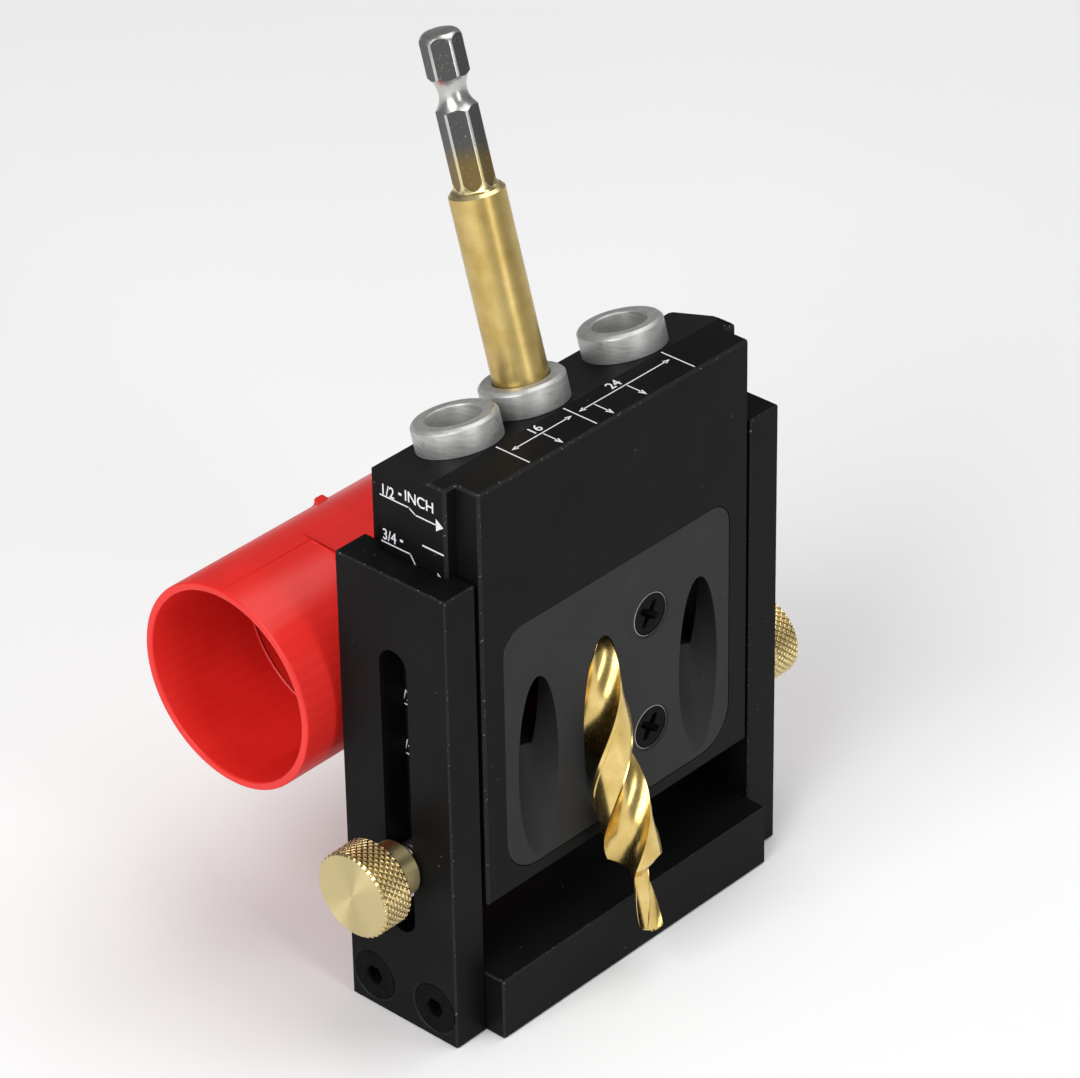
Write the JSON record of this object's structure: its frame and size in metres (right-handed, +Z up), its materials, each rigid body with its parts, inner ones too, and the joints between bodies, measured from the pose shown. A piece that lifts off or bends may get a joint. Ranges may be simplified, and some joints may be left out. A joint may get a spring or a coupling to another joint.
{
  "type": "pocket-hole drill guide",
  "caption": "Adjustable pocket-hole drill guide: a sliding block with slanted bushings and a stepped drill between slotted side plates, clamped by thumb screws, with a chip port.",
  "frame": {"origin": "underside of the stop bar, midway between the side plates and straight below the working face", "axes": "+Z up, +X to the right as seen from the working side, +Y from the working face towards the chip hood"},
  "size_m": [0.1048, 0.0764, 0.1652],
  "materials": {
    "black_anodised": "fine satin black anodising, worn bright along the edges",
    "insert_plastic": "matt dark grey moulded plastic",
    "bushing_steel": "turned and hardened grey steel",
    "tin_coated_steel": "gold titanium nitride coating with a dark steel hexagon",
    "brass": "bright turned brass with a diamond knurl",
    "stud_steel": "plain machined steel thread",
    "black_oxide_steel": "black oxide fastener steel",
    "red_plastic": "smooth red injection-moulded plastic"
  },
  "bodies": {
    "frame": {"left_side_plate": "black_anodised", "right_side_plate": "black_anodised", "stop_bar": "black_anodised", "left_front_screw": "black_oxide_steel", "left_rear_screw": "black_oxide_steel", "right_front_screw": "black_oxide_steel", "right_rear_screw": "black_oxide_steel"},
    "guide": {"guide_block": "black_anodised", "exit_insert": "insert_plastic", "upper_insert_screw": "black_oxide_steel", "lower_insert_screw": "black_oxide_steel", "left_bushing": "bushing_steel", "middle_bushing": "bushing_steel", "right_bushing": "bushing_steel", "dust_port": "red_plastic"},
    "left_stud": {"left_thumb_stud": "stud_steel"},
    "left_knob": {"left_thumb_knob": "brass"},
    "right_stud": {"right_thumb_stud": "stud_steel"},
    "right_knob": {"right_thumb_knob": "brass"},
    "drill": {"step_drill": "tin_coated_steel"}
  },
  "joints": [
    {"name": "guide_slide", "type": "slide", "parent": "frame", "child": "guide", "axis": [0, 0, 1], "range_m": [-0.0085, 0.039]},
    {"name": "left_thumb_travel", "type": "slide", "parent": "guide", "child": "left_stud", "axis": [1, 0, 0], "range_m": [-0.00401, 0.00001]},
    {"name": "left_thumb_turn", "type": "hinge", "parent": "left_stud", "child": "left_knob", "pos_m": [-0.048, 0.01225, 0.0322], "axis": [1, 0, 0], "range_deg": [-1440, 0]},
    {"name": "right_thumb_travel", "type": "slide", "parent": "guide", "child": "right_stud", "axis": [-1, 0, 0], "range_m": [-0.00401, 0.00001]},
    {"name": "right_thumb_turn", "type": "hinge", "parent": "right_stud", "child": "right_knob", "pos_m": [0.048, 0.01225, 0.0322], "axis": [-1, 0, 0], "range_deg": [-1440, 0]},
    {"name": "drill_plunge", "type": "slide", "parent": "guide", "child": "drill", "axis": [0, 0.2756, 0.9613], "range_m": [0, 0.1]}
  ],
  "couplings": [
    {"joint": "left_thumb_travel", "follows": "left_thumb_turn", "m_per_rad": 0.00015915},
    {"joint": "right_thumb_travel", "follows": "right_thumb_turn", "m_per_rad": 0.00015915}
  ]
}
